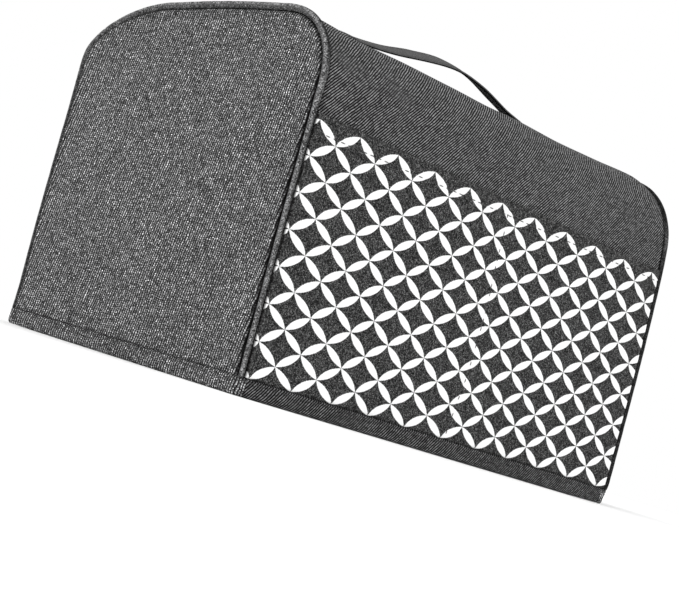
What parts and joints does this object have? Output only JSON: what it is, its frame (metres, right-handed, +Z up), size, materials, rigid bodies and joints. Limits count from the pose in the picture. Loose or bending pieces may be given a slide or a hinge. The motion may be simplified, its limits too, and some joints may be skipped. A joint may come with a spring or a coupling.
{
  "type": "toaster cover",
  "caption": "Open-bottomed fitted fabric cover with an arched roof, piped end panels, a patterned front pocket and a soft carrying strap on top.",
  "frame": {"origin": "middle of the bounding box in plan, at the level of the hem that the cover stands on", "axes": "+X along the cover's length, -Y towards the printed pocket side, +Z up"},
  "size_m": [0.298, 0.2314, 0.2271],
  "materials": {
    "heather_cloth": "matte mottled linen weave",
    "twill_cloth": "matte twill",
    "piping_cloth": "matte",
    "printed_cloth": "matte, white petals printed on dark grey",
    "strap_cloth": "matte"
  },
  "bodies": {
    "root": {"main_panel": "twill_cloth", "end_panel_left": "heather_cloth", "end_panel_right": "heather_cloth", "piping_left": "piping_cloth", "piping_right": "piping_cloth", "front_pocket": "printed_cloth", "handle_strap": "strap_cloth"}
  },
  "joints": []
}
